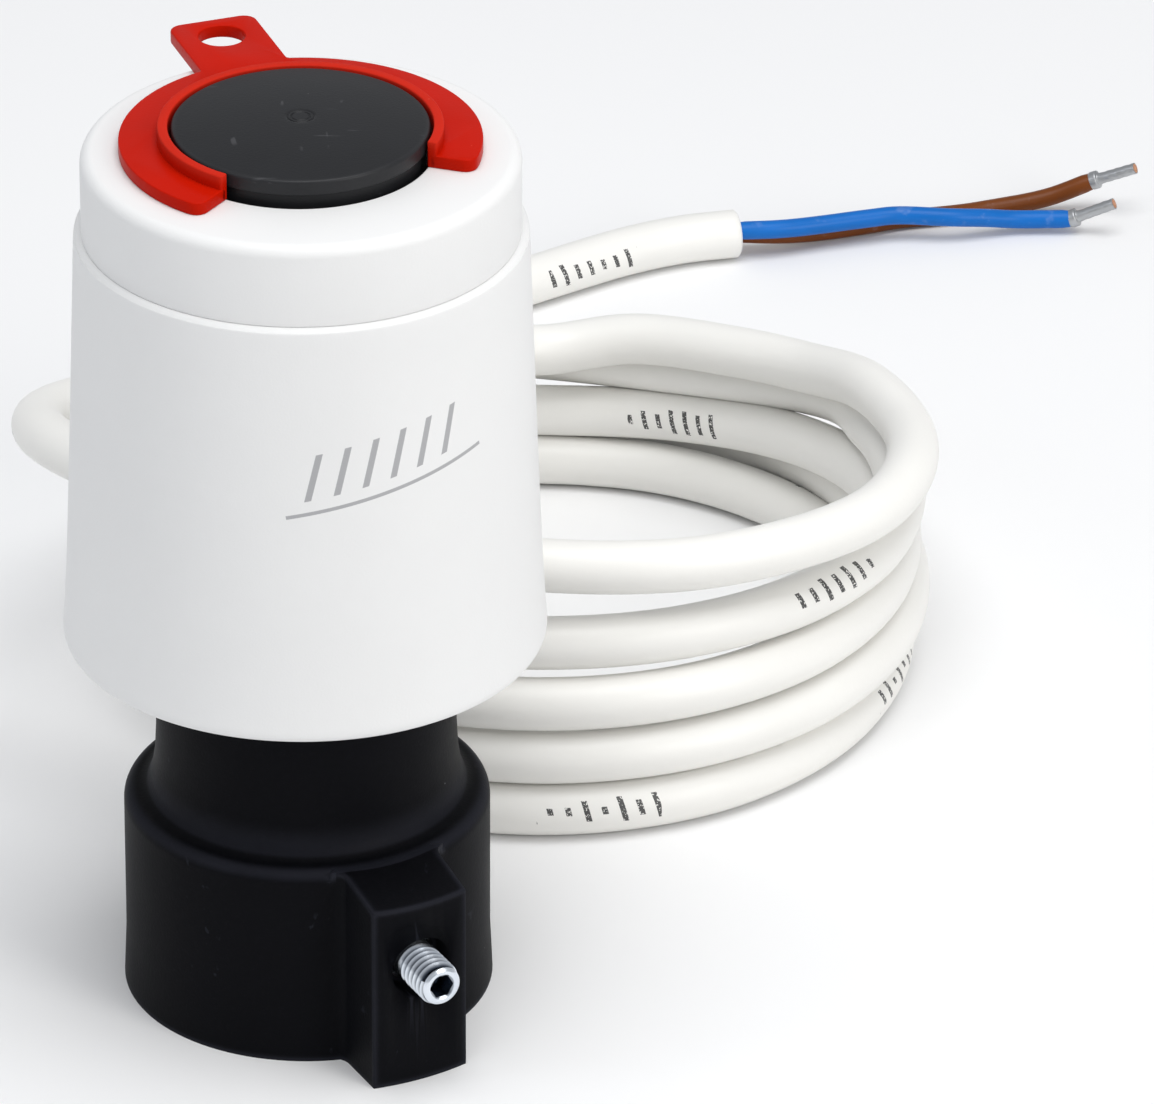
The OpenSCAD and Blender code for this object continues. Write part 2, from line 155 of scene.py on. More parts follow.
class CableSettings(bpy.types.PropertyGroup):
    """Sizes and colours of the cable"""
    diameter: length("Sheath diameter", "Diameter of the cable", .005)
    wire: length("Wire diameter", "Diameter of one insulated wire", .0019)
    ribs: IntProperty(name="Ribs", description="Number of ribs on the strain relief", default=6,
                      min=1, max=12)
    sheath_colour: colour("Sheath colour", "Colour of the sheath", (.83, .82, .785))
    blue: colour("Blue wire", "Colour of the blue wire", (.003, .135, .49))
    brown: colour("Brown wire", "Colour of the brown wire", (.165, .042, .005))


class StageSettings(bpy.types.PropertyGroup):
    """Floor, light and lens"""
    floor_colour: colour("Floor colour", "Colour of the floor", (.86, .86, .86))
    lens: FloatProperty(name="Lens", description="Focal length in millimetres", default=316.17)


class ActuatorSettings(bpy.types.PropertyGroup):
    """All settings of the actuator head"""
    housing: PointerProperty(type=HousingSettings)
    disc: PointerProperty(type=DiscSettings)
    clip: PointerProperty(type=ClipSettings)
    adapter: PointerProperty(type=AdapterSettings)
    screw: PointerProperty(type=ScrewSettings)
    cable: PointerProperty(type=CableSettings)
    stage: PointerProperty(type=StageSettings)


def settings():
    return bpy.context.scene.actuator_head


# Node trees

class Value:
    """An output in a node tree; operators on it add Math nodes"""

    def __init__(self, tree, socket):
        self.tree = tree
        self.socket = socket

    def maths(self, operation, *values):
        return self.tree.node("ShaderNodeMath", {"operation": operation}, dict(enumerate(values)))

    def __add__(self, other):
        return self.maths("ADD", self, other)

    def __radd__(self, other):
        return self.maths("ADD", other, self)

    def __sub__(self, other):
        return self.maths("SUBTRACT", self, other)

    def __rsub__(self, other):
        return self.maths("SUBTRACT", other, self)

    def __mul__(self, other):
        return self.maths("MULTIPLY", self, other)

    def __rmul__(self, other):
        return self.maths("MULTIPLY", other, self)

    def __truediv__(self, other):
        return self.maths("DIVIDE", self, other)

    def __gt__(self, other):
        return self.maths("GREATER_THAN", self, other)

    def __lt__(self, other):
        return self.maths("LESS_THAN", self, other)

    def __abs__(self):
        return self.maths("ABSOLUTE", self)

    def floor(self):
        return self.maths("FLOOR", self)

    def fraction(self):
        return self.maths("FRACT", self)


class Tree:
    """A node tree that is being filled"""

    def __init__(self, tree):
        self.tree = tree

    def node(self, kind, settings=None, inputs=None, output=0):
        """Adds a node with its settings, then its sockets, and gives one output"""
        made = self.tree.nodes.new(kind)
        for name, value in (settings or {}).items():
            setattr(made, name, value)
        self.fill(made, inputs or {})
        return Value(self, made.outputs[output])

    def fill(self, made, inputs):
        for name, value in inputs.items():
            if isinstance(value, Value):
                self.tree.links.new(value.socket, made.inputs[name])
            else:
                made.inputs[name].default_value = value


class Finish(Tree):
    """A material made of procedural nodes on Object coordinates"""

    def __init__(self, name, place="Object"):
        self.material = bpy.data.materials.new(name)
        self.material.use_nodes = True
        super().__init__(self.material.node_tree)
        self.shader = self.tree.nodes["Principled BSDF"]
        self.place = self.node("ShaderNodeTexCoord", output=place)

    def part(self, axis):
        return self.node("ShaderNodeSeparateXYZ", {}, {0: self.place}, "XYZ".index(axis))

    def reach(self):
        """Distance from the upright axis of the head"""
        flat = self.node("ShaderNodeCombineXYZ", {}, {0: self.part("X"), 1: self.part("Y")})
        return self.node("ShaderNodeVectorMath", {"operation": "LENGTH"}, {0: flat}, "Value")

    def stretched(self, x, y, z):
        return self.node("ShaderNodeMapping", {}, {"Vector": self.place, "Scale": (x, y, z)})

    def noise(self, size, detail=3, place=None):
        """Noise from 0 to 1 whose blotches measure about size metres"""
        return self.node("ShaderNodeTexNoise", {},
                         {"Vector": place or self.place, "Scale": 1 / size, "Detail": detail})

    def specks(self, spacing, radius, share):
        """1 on small round specks in a share of the cells that are spacing metres apart"""
        cells = {"Vector": self.place, "Scale": 1 / spacing}
        near = self.node("ShaderNodeTexVoronoi", {}, cells, "Distance")
        tone = self.node("ShaderNodeTexVoronoi", {}, cells, "Color")
        chosen = self.node("ShaderNodeSeparateColor", {}, {0: tone}) < share
        return (near < radius / spacing) * chosen

    def between(self, value, low, high):
        """0 below low, 1 above high and smooth between"""
        return self.node("ShaderNodeMapRange", {"interpolation_type": "SMOOTHSTEP"},
                         {"Value": value, "From Min": low, "From Max": high})

    def mix(self, share, first, second):
        return self.node("ShaderNodeMix", {"data_type": "RGBA"}, {0: share, 6: first, 7: second}, 2)

    def bump(self, height, depth, edge=0.0):
        """A normal from a height, on edges rounded to a radius where one is given"""
        inputs = {"Height": height, "Distance": depth}
        if edge:
            inputs["Normal"] = self.node("ShaderNodeBevel", {"samples": 6}, {"Radius": edge})
        return self.node("ShaderNodeBump", {}, inputs)

    def edges(self, radius, low, high):
        """1 along the edges and fillets that are sharper than a radius"""
        eased = self.node("ShaderNodeBevel", {"samples": 8}, {"Radius": radius})
        facing = self.node("ShaderNodeNewGeometry", output="Normal")
        turn = 1 - self.node("ShaderNodeVectorMath", {"operation": "DOT_PRODUCT"},
                             {0: eased, 1: facing}, "Value")
        return self.between(turn, low, high)

    def surface(self, **sockets):
        self.fill(self.shader, {name.replace("_", " "): value for name, value in sockets.items()})
        return self.material


def rgba(tint, factor=1.0):
    return (*[min(1, c * factor) for c in tint], 1)


def moulded(name, tint, roughness, grain, depth, dust=0.0):
    """Moulded plastic: fine grain, uneven gloss and a little dust"""
    f = Finish(name)
    fine = f.noise(grain, 2)
    broad = f.noise(grain * 60, 4)
    shade = f.mix(broad, rgba(tint, .93), rgba(tint, 1.06))
    if dust:
        shade = f.mix(f.specks(.0035, .00007, dust) * .7, shade, (.5, .5, .5, 1))
    return f.surface(Base_Color=shade, Roughness=roughness - .06 + .12 * broad + .06 * fine,
                     Normal=f.bump(fine + .4 * broad, depth))


def metal(name, tint, roughness, stretch=(1, 1, 1), grain=.0004, stain=.3):
    """Bare or plated metal with fine marks stretched along one direction"""
    f = Finish(name)
    marks = f.noise(grain, 3, place=f.stretched(*stretch))
    cloud = f.noise(grain * 14, 3)
    shade = f.mix(cloud * stain, rgba(tint, 1.05), rgba(tint, .6))
    return f.surface(Base_Color=shade, Metallic=1.0, Roughness=roughness - .05 + .16 * marks,
                     Normal=f.bump(marks, .000006))


def housing_finish():
    """White plastic with a plain printed mark of slanted bars over a line"""
    s = settings().housing
    f = Finish("housing_white")
    fine = f.noise(.00022, 2)
    broad = f.noise(.012, 4)
    # The mark's centre is a distance round the wall and a height, all in mm on the wall
    wall_radius, centre_round, centre_height, slope = 20.5, 7.2, 62.4, .19
    spacing, lean = 2.6, .45
    x, y, z = f.part("X"), f.part("Y"), f.part("Z")
    angle = f.node("ShaderNodeMath", {"operation": "ARCTAN2"}, {0: x, 1: 0 - y})
    right = angle * wall_radius - centre_round
    up = z / MM - centre_height
    forward = right * math.cos(slope) + up * math.sin(slope)
    across = up * math.cos(slope) - right * math.sin(slope)
    bar = (forward - across * lean) / spacing
    line = (abs(across + 3.3) < .17) * (abs(forward) < 9.6)
    bars = (abs(bar.fraction() - .5) < .12) * (abs(across) < 2.1) * (abs(bar) < 3)
    mark = (line + bars) * (y < 0)
    shade = f.mix(broad, rgba(s.colour, .975), rgba(s.colour, 1.02))
    shade = f.mix(f.specks(.006, .00009, .25) * .35, shade, rgba((.35, .32, .28)))
    shade = f.mix(f.between(mark, .4, .6), shade, rgba(s.mark_colour))
    return f.surface(Base_Color=shade, Roughness=.50 + .10 * broad - .06 * fine,
                     Normal=f.bump(fine, .000012))


def clip_finish():
    """Red plastic, scuffed lighter on the rim, with small nicks"""
    s = settings().clip
    f = Finish("clip_red")
    fine = f.noise(.0003, 2)
    broad = f.noise(.006, 4)
    nicks = f.specks(.0016, .00010, .28)
    rim = f.between(f.part("Z"), .0843, .0852) * (.5 + .5 * broad)
    shade = f.mix(broad, rgba(s.colour, .9), rgba(s.colour, 1.12))
    shade = f.mix(rim * .22, shade, (.72, .07, .04, 1))
    shade = f.mix(nicks * .30, shade, (.78, .16, .11, 1))
    return f.surface(Base_Color=shade, Roughness=.28 + .14 * broad + .22 * rim + .2 * nicks,
                     Specular_IOR_Level=.04, Normal=f.bump(fine + broad * .5, .00001))


def disc_finish():
    """Black plastic with fine scratches and a scuffed rim"""
    s = settings().disc
    f = Finish("disc_black")
    fine = f.noise(.00025, 2)
    broad = f.noise(.005, 4)
    lines = f.between(f.noise(.00042, 1, place=f.stretched(.07, 1.1, 1)), .70, .74)
    others = f.between(f.noise(.00045, 1, place=f.stretched(.5, .10, 1)), .71, .75)
    scratches = (lines + others) * f.between(f.noise(.005, 2), .54, .66)
    rim = f.between(f.reach(), .0107, .0113) * broad
    shade = f.mix(broad, rgba(s.colour, .8), rgba(s.colour, 1.25))
    shade = f.mix(scratches * .22 + rim * .10, shade, (.16, .16, .17, 1))
    shade = f.mix(f.specks(.0028, .00007, .3) * .35, shade, (.3, .3, .3, 1))
    return f.surface(Base_Color=shade, Roughness=.36 + .12 * broad + .08 * scratches,
                     Specular_IOR_Level=.22, Normal=f.bump(fine, .000012))


def adapter_finish():
    """Black moulded plastic with spark-eroded grain, dust, faint rubs and painted highlights along its
    edges, the collar's rim and the neck's root
    """
    s = settings().adapter
    f = Finish("adapter_black")
    fine = f.noise(.00028, 2)
    broad = f.noise(.009, 4)
    rubs = f.between(f.noise(.0016, 3, place=f.stretched(1.6, .5, 1)), .66, .74)
    rubs = rubs * f.between(f.noise(.008, 2), .54, .64)
    shade = f.mix(broad, rgba(s.colour, .8), rgba(s.colour, 1.3))
    reach, above = f.reach(), f.part("Z") - COLLAR_TOP
    # Painted highlights: the colour is made lighter along edges and fillets, round the collar's outer
    # top edge and at the neck's root, where light would glint
    rim = f.between(above, -.0012, -.0004) * f.between(reach, .0152, .0160)
    root = f.between(above, .00015, .0006) * (1 - f.between(above, .0011, .0034))
    painted_highlight = f.edges(.0011, .004, .07) + (rim + root * .7) * (reach < .0166)
    # The lighter colour here is the painted highlight, not wear
    shade = f.mix(painted_highlight * (.4 + .6 * broad), shade, (.019, .020, .027, 1))
    shade = f.mix(rubs * .10, shade, (.09, .10, .13, 1))
    shade = f.mix(f.specks(.0030, .00008, .35) * .45, shade, (.30, .30, .31, 1))
    return f.surface(Base_Color=shade, Roughness=.40 + .10 * broad + .07 * fine,
                     Specular_IOR_Level=.045, Normal=f.bump(fine, .000016, s.edge))


def sheath_finish():
    """Soft PVC with a printed row of plain strokes"""
    s = settings().cable
    f = Finish("sheath_pvc", "UV")
    # The print repeats along the cable and winds round it slowly, in mm
    repeat, first, last, winding, half_height = 38, 3.6, 14.6, 690, 1.25
    u = f.part("X") / MM
    v = ((f.part("Y") + u / winding + .348).fraction() - .5) * (math.pi * s.diameter / MM)
    surface = f.node("ShaderNodeTexCoord", output="Object")
    fine = f.noise(.0004, 2, place=surface)
    broad = f.noise(.010, 3, place=surface)
    start = (u / repeat).fraction() * repeat
    height = abs(v)
    slot = (start - first) / 1.6 + v * .14
    chance = f.node("ShaderNodeTexWhiteNoise", {"noise_dimensions": "1D"},
                    {"W": slot.floor() + (u / repeat).floor() * 17}, "Value")
    strokes = (slot.fraction() < .32) * (height < .25 + chance * 1.2)
    dots = f.between(f.noise(.00016, 1, place=surface), .30, .46)
    ink = strokes * (start > first) * (start < last) * (height < half_height) * dots
    shade = f.mix(broad, rgba(s.sheath_colour, .965), rgba(s.sheath_colour, 1.03))
    shade = f.mix(f.between(ink, .2, .9) * .94, shade, (.015, .015, .016, 1))
    return f.surface(Base_Color=shade, Roughness=.36 + .10 * broad,
                     Normal=f.bump(broad + .3 * fine, .00002))


def screw_finish():
    """Zinc plate on the thread's crests and the end face, with painted shade in the thread's roots and
    the hexagon socket
    """
    s = settings().screw
    f = Finish("screw_zinc")
    centre = f.node("ShaderNodeVectorMath", {"operation": "SUBTRACT"},
                    {0: f.place, 1: AXIS * SCREW_HEIGHT})
    aside = f.node("ShaderNodeVectorMath", {"operation": "CROSS_PRODUCT"},
                   {0: centre, 1: SCREW_DIRECTION})
    reach = f.node("ShaderNodeVectorMath", {"operation": "LENGTH"}, {0: aside}, "Value")
    out = f.node("ShaderNodeVectorMath", {"operation": "DOT_PRODUCT"},
                 {0: centre, 1: SCREW_DIRECTION}, "Value")
    cloud = f.noise(.0016, 3)
    marks = f.noise(.0002, 3)
    # Painted shade: below the crests, in the thread's roots and on the core, the zinc colour gives way
    # to a dark one; the socket's walls keep a little of the zinc colour and its bottom none
    crest = f.between(reach, s.core + .00006, s.radius - .00003)
    face = (out > SCREW_END - .00035) * f.between(reach, .00112, .00122)
    socket = (reach < .0012) * f.between(out, SCREW_END - .0020, SCREW_END - .0002)
    bright = crest * (1 - face) + face + socket * (1 - face) * .32
    # The first colour is the painted shade, the second the zinc's own colour
    shade = f.mix(bright, (.05, .065, .09, 1), f.mix(cloud, (.62, .68, .76, 1), (.86, .90, .95, 1)))
    return f.surface(Base_Color=shade, Metallic=1.0, Roughness=.16 + .12 * marks,
                     Normal=f.bump(marks, .000006))


def insulation(name, tint):
    """Coloured PVC with faint drawing lines and a dull bloom"""
    f = Finish(name)
    broad = f.noise(.004, 4)
    fine = f.noise(.0003, 2)
    bloom = f.between(f.noise(.0016, 3), .6, .75)
    shade = f.mix(broad, rgba(tint, .82), rgba(tint, 1.15))
    shade = f.mix(bloom * .07, shade, (.75, .8, .9, 1))
    return f.surface(Base_Color=shade, Roughness=.30 + .14 * broad, Specular_IOR_Level=.22,
                     Normal=f.bump(fine, .00001))


def make_finishes():
    """The finish of each material slot, by the slot's name"""
    s = settings().cable
    return {
        "white_plastic": housing_finish(),
        "red_plastic": clip_finish(),
        "disc_plastic": disc_finish(),
        "black_plastic": adapter_finish(),
        "cable_sheath": sheath_finish(),
        "blue_insulation": insulation("wire_blue", s.blue),
        "brown_insulation": insulation("wire_brown", s.brown),
        "zinc_steel": screw_finish(),
        "turned_steel": metal("turned_steel", (.62, .62, .63), .22, (1, 1, 14)),
        "spring_steel": metal("spring_steel", (.42, .43, .45), .30),
        "tinned_ferrule": metal("tinned_sleeve", (.50, .51, .52), .34, grain=.0002, stain=.5),
        "contact_brass": metal("contact_brass", (.72, .50, .20), .27, (12, 1, 1)),
        "capsule_brass": metal("capsule_brass", (.66, .44, .17), .24, (1, 1, 14), stain=.5),
        "natural_nylon": moulded("natural_nylon", (.74, .71, .60), .42, .0003, .00002),
        "black_rubber": moulded("seal_rubber", (.018, .018, .018), .62, .0002, .00002, .2),
        "heater_ceramic": moulded("heater_ceramic", (.10, .09, .09), .58, .00015, .00003, .2),
        "wax": moulded("capsule_wax", (.72, .62, .36), .34, .0012, .00004),
        "copper": metal("copper_strand", (.88, .42, .22), .30, grain=.0002, stain=.25),
    }


def finish(slot):
    name = "finish_" + slot
    if name not in bpy.data.materials:
        for key, made in make_finishes().items():
            made.name = "finish_" + key
    return bpy.data.materials[name]


# Shapes

def smooth_line(points, steps):
    """A smooth line through points, with steps pieces between neighbours"""
    p = [Vector(q) for q in points]
    p = [2 * p[0] - p[1], *p, 2 * p[-1] - p[-2]]
    line = []
    for a, b, c, d in zip(p, p[1:], p[2:], p[3:]):
        for k in range(steps):
            t = k / steps
            line.append((2 * b + (c - a) * t + (2 * a - 5 * b + 4 * c - d) * t ** 2
                         + (3 * b - a - 3 * c + d) * t ** 3) / 2)
    return [*line, p[-2]]


def rounded(outline, closed=True, steps=5):
    """The points of an outline whose corners (x, y, radius) are rounded"""
    points = []
    last = len(outline) - 1
    for i, (x, y, radius) in enumerate(outline):
        if not radius or (not closed and i in (0, last)):
            points.append(Vector((x, y)))
            continue
        here = Vector((x, y))
        back = (Vector(outline[i - 1][:2]) - here).normalized()
        on = (Vector(outline[(i + 1) % len(outline)][:2]) - here).normalized()
        half = back.angle(on) / 2
        centre = here + (back + on).normalized() * radius / math.sin(half)
        start = here + back * radius / math.tan(half) - centre
        end = here + on * radius / math.tan(half) - centre
        sweep = start.angle(end)
        for k in range(steps + 1):
            t = k / steps
            points.append(centre + (math.sin((1 - t) * sweep) * start + math.sin(t * sweep) * end)
                          / math.sin(sweep))
    return points


def skin(rings, closed=False):
    """A mesh over rings of points; a ring of one point is a pole"""
    mesh = bmesh.new()
    rows = [[mesh.verts.new(p) for p in ring] for ring in rings]
    pairs = list(zip(rows, rows[1:]))
    if closed:
        pairs.append((rows[-1], rows[0]))
    for low, high in pairs:
        count = max(len(low), len(high))
        for k in range(count):
            n = (k + 1) % count
            if len(low) == 1:
                mesh.faces.new((low[0], high[n], high[k]))
            elif len(high) == 1:
                mesh.faces.new((low[k], low[n], high[0]))
            else:
                mesh.faces.new((low[k], low[n], high[n], high[k]))
    for row in (rows[0], rows[-1]):
        if len(row) > 1 and not closed:
            mesh.faces.new(row)
    return mesh


def circle(radius, height, sides):
    """A ring of points about Z, or one point where the radius is nothing"""
    if radius < 1e-7:
        return [Vector((0, 0, height))]
    return [Vector((radius * math.cos(math.tau * k / sides), radius * math.sin(math.tau * k / sides),
                    height)) for k in range(sides)]


def turned(profile, sides, closed=False):
    """A mesh turned about Z from (radius, height) points in metres"""
    return skin([circle(r, z, sides) for r, z in profile], closed)


def tube_rings(path, radii, sides):
    """Rings of a tube along a path that is never upright"""
    rings = []
    for i, (centre, radius) in enumerate(zip(path, radii)):
        tangent = (path[min(i + 1, len(path) - 1)] - path[max(i - 1, 0)]).normalized()
        side = tangent.cross(AXIS).normalized()
        up = side.cross(tangent)
        rings.append([centre + radius * (math.cos(math.tau * k / sides) * side
                                         + math.sin(math.tau * k / sides) * up)
                      for k in range(sides)])
    return rings


def piece(name, shape, body, slot, nodes=(), sharp=35, recalculate=True):
    """Turns a bmesh into a finished piece that rides on a body and stands for CAD nodes"""
    if recalculate:
        bmesh.ops.recalc_face_normals(shape, faces=shape.faces)
    mesh = bpy.data.meshes.new(name)
    shape.to_mesh(mesh)
    shape.free()
    mesh.materials.append(finish(slot))
    return place(name, mesh, body, slot, nodes, sharp)


def place(name, mesh, body, slot, nodes=(), sharp=35):
    """Adds a finished mesh as a piece on a body, with edges above the sharp angle kept crisp"""
    mesh.shade_smooth()
    mesh.set_sharp_from_angle(angle=math.radians(sharp))
    made = bpy.data.objects.new(name, mesh)
    bpy.context.scene.collection.objects.link(made)
    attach(made, body)
    if nodes:
        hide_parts(*nodes)
    return made


def evaluated(tree, inputs):
    """The plain mesh that a Geometry Nodes tree makes, its inputs given by identifier"""
    holder = bpy.data.objects.new(tree.name, bpy.data.meshes.new(tree.name))
    bpy.context.scene.collection.objects.link(holder)
    modifier = holder.modifiers.new(tree.name, "NODES")
    modifier.node_group = tree
    for identifier, value in inputs.items():
        modifier[identifier] = value
    graph = bpy.context.evaluated_depsgraph_get()
    result = bpy.data.meshes.new_from_object(holder.evaluated_get(graph), depsgraph=graph)
    holder.modifiers.remove(modifier)
    bpy.data.objects.remove(holder)
    return result


class Repeat(Tree):
    """A Geometry Nodes tree with named inputs that ends in Realize Instances and Set Material"""

    def __init__(self, name, inputs):
        super().__init__(bpy.data.node_groups.new(name, "GeometryNodeTree"))
        self.values = {}
        for label, (kind, value) in inputs.items():
            made = self.tree.interface.new_socket(label, in_out="INPUT",
                                                  socket_type="NodeSocket" + kind)
            self.values[made.identifier] = value
        self.tree.interface.new_socket("Geometry", in_out="OUTPUT",
                                       socket_type="NodeSocketGeometry")
        self.entry = self.tree.nodes.new("NodeGroupInput")

    def __getitem__(self, label):
        return Value(self, self.entry.outputs[label])

    def join(self, *parts):
        joined = self.tree.nodes.new("GeometryNodeJoinGeometry")
        for part in parts:
            self.tree.links.new(part.socket, joined.inputs[0])
        return Value(self, joined.outputs[0])

    def mesh(self, geometry, slot):
        real = self.node("GeometryNodeRealizeInstances", {}, {"Geometry": geometry})
        done = self.node("GeometryNodeSetMaterial", {}, {"Geometry": real,
                                                         "Material": finish(slot)})
        exit_node = self.tree.nodes.new("NodeGroupOutput")
        self.tree.links.new(done.socket, exit_node.inputs["Geometry"])
        mesh = evaluated(self.tree, self.values)
        mesh.materials.clear()
        mesh.materials.append(finish(slot))
        return mesh


def along(start, direction):
    """The matrix that puts Z on a direction, from a start point"""
    return Matrix.Translation(start) @ direction.to_track_quat("Z", "Y").to_matrix().to_4x4()


# Stage

class ACTUATOR_OT_stage(bpy.types.Operator):
    """Camera, pale floor and soft studio light"""
    bl_idname = "actuator.stage"
    bl_label = "Stage"

    def light(self, name, location, target, size, power, tint=(1, 1, 1)):
        data = bpy.data.lights.new(name, "AREA")
        data.shape = "RECTANGLE"
        data.size, data.size_y = size
        data.energy = power
        data.color = tint
        lamp = bpy.data.objects.new(name, data)
        lamp.location = location
        lamp.rotation_euler = (Vector(target) - Vector(location)).to_track_quat("-Z", "Y").to_euler()
        bpy.context.scene.collection.objects.link(lamp)

    def execute(self, context):
        s = settings().stage
        scene = context.scene
        data = bpy.data.cameras.new("camera")
        data.lens = s.lens
        data.sensor_width = 36
        data.clip_start, data.clip_end = .01, 20
        camera = bpy.data.objects.new("camera", data)
        camera.location = (0, -.79259, .47378)
        camera.rotation_euler = [math.radians(a) for a in (61.4618, -.2396, -1.6209)]
        scene.collection.objects.link(camera)
        scene.camera = camera

        ground = Finish("stage_floor")
        ground.surface(Base_Color=ground.mix(ground.noise(.2, 2), rgba(s.floor_colour, .99),
                                             rgba(s.floor_colour, 1.01)), Roughness=.9)
        shape = bmesh.new()
        bmesh.ops.create_grid(shape, x_segments=1, y_segments=1, size=3)
        mesh = bpy.data.meshes.new("stage_floor")
        shape.to_mesh(mesh)
        shape.free()
        mesh.materials.append(ground.material)
        floor = bpy.data.objects.new("stage_floor", mesh)
        scene.collection.objects.link(floor)

        world = bpy.data.worlds.new("studio")
        world.use_nodes = True
        Tree(world.node_tree).fill(world.node_tree.nodes["Background"],
                                   {"Color": (.94, .96, 1, 1), "Strength": .50})
        scene.world = world
        scene.view_settings.view_transform = "Standard"
        self.light("overhead", (.08, -.10, .75), (.02, .04, 0), (.6, .5), 3.75)
        self.light("right_front", (.62, -.55, .40), (.02, .02, .04), (.3, .5), 2.6, (1, .98, .95))
        self.light("left_strip", (-.7, -.15, .3), (0, 0, .03), (.12, .5), .5, (.88, .93, 1))
        return {"FINISHED"}


# Cable

def coil_points():
    """Points of the coiled turns: 16 a turn, eased from one quarter to the next"""
    points = []
    for quarter, ((r0, z0), (r1, z1)) in enumerate(zip(COIL, COIL[1:])):
        for k in range(4):
            ease = (1 - math.cos(math.pi * k / 4)) / 2
            angle = math.pi / 2 * (1 - quarter - k / 4)
            radius = r0 + (r1 - r0) * ease
            points.append((.023 + MM * radius * math.cos(angle),
                           .0595 + MM * radius * math.sin(angle), MM * (z0 + (z1 - z0) * ease)))
    return points


def line_length(line):
    return sum((b - a).length for a, b in zip(line, line[1:]))


def sheath(line, radius):
    """A tube whose UV map holds the distance along it and the place round it, 0.5 at the upper front"""
    sides, end_radius = 28, radius - .0003
    line = [line[0], line[0].lerp(line[1], .35), *line[1:-1], line[-2].lerp(line[-1], .65), line[-1]]
    radii = [end_radius, *[radius] * (len(line) - 2), end_radius]
    shape = skin([[line[0]], *tube_rings(line, radii, sides), [line[-1]]])
    layer = shape.loops.layers.uv.new("along")
    shape.verts.index_update()
    distance, lean = [0.0], []
    for a, b in zip(line, line[1:]):
        distance.append(distance[-1] + (b - a).length)
    for i in range(len(line)):
        tangent = (line[min(i + 1, len(line) - 1)] - line[max(i - 1, 0)]).normalized()
        lean.append(.25 - .10 * tangent.x)
    for face in shape.faces:
        numbers = [v.index - 1 for v in face.verts if 0 < v.index <= len(line) * sides]
        columns = [n % sides for n in numbers]
        wraps = max(columns) - min(columns) > 1
        for loop in face.loops:
            n = loop.vert.index - 1
            if 0 <= n < len(line) * sides:
                row, column = divmod(n, sides)
                if wraps and column == 0:
                    column = sides
                loop[layer].uv = (distance[row], column / sides - lean[row] + .5)
            else:
                loop[layer].uv = (0, .1)
    return shape


def wire(name, route, radius, slot, node):
    """An insulated wire along a route, its cut ends a little rounded"""
    line = smooth_line(route, 6)
    radii = [radius - .0001, *[radius] * (len(line) - 2), radius - .0001]
    shape = skin([[line[0]], *tube_rings(line, radii, 24), [line[-1]]])
    return piece(name, shape, "housing", slot, [node], 50)


def ferrule(name, end, turn, lift, node):
    """A crimped sleeve behind a collar, with the ends of its strands"""
    turn, lift = math.radians(turn), math.radians(lift)
    direction = Vector((math.cos(turn) * math.cos(lift), math.sin(turn) * math.cos(lift),
                        math.sin(lift)))
    sides, sleeve_radius, sleeve_start, bite_spacing = 32, .0006, .0011, .00095
    collar = rounded([(0, 0, 0), (.0008, -.0003, 0), (.00095, 0, .00008), (.00095, .0007, .00012),
                      (.00064, .0008, .00008), (sleeve_radius, sleeve_start, 0)], False, 4)[1:]
    rings = [circle(r, z, sides) for r, z in ((0, -.0003), *collar)]
    for row in range(1, 27):
        z = row * .00015
        bite = .00005 * (1 - math.cos(math.tau * z / bite_spacing)) / 2
        ring = []
        for k in range(sides):
            a = math.tau * k / sides
            r = sleeve_radius - bite * (.35 + .65 * math.cos(2 * a) ** 2)
            ring.append(Vector((r * math.cos(a), r * math.sin(a), sleeve_start + z)))
        rings.append(ring)
    rings += [circle(r, z, sides) for r, z in ((.00052, .005), (.0005, .00488), (0, .00488))]
    shape = skin(rings)
    matrix = along(end, direction)
    bmesh.ops.transform(shape, matrix=matrix, verts=shape.verts)
    sleeve = piece(name, shape, "housing", "tinned_ferrule", [node], 40)

    tree = Repeat(name + "_strands", {"Strand radius": ("Float", .000098), "Depth": ("Float", .0002)})
    strand = tree.node("GeometryNodeMeshCylinder", {},
                       {"Vertices": 10, "Radius": tree["Strand radius"], "Depth": tree["Depth"]})
    rows = [tree.node("GeometryNodeMeshCircle", {}, {"Vertices": count, "Radius":
                                                     tree["Strand radius"] * (2.02 * ring)})
            for ring, count in ((1, 6), (2, 12))]
    middle = tree.node("GeometryNodeMeshLine", {}, {"Count": 1})
    points = tree.node("GeometryNodeInstanceOnPoints", {},
                       {"Points": tree.join(middle, *rows), "Instance": strand})
    mesh = tree.mesh(points, "copper")
    mesh.transform(matrix @ Matrix.Translation((0, 0, .00492)))
    strands = place(name + "_strands", mesh, "housing", "tinned_ferrule")
    return [sleeve, strands]


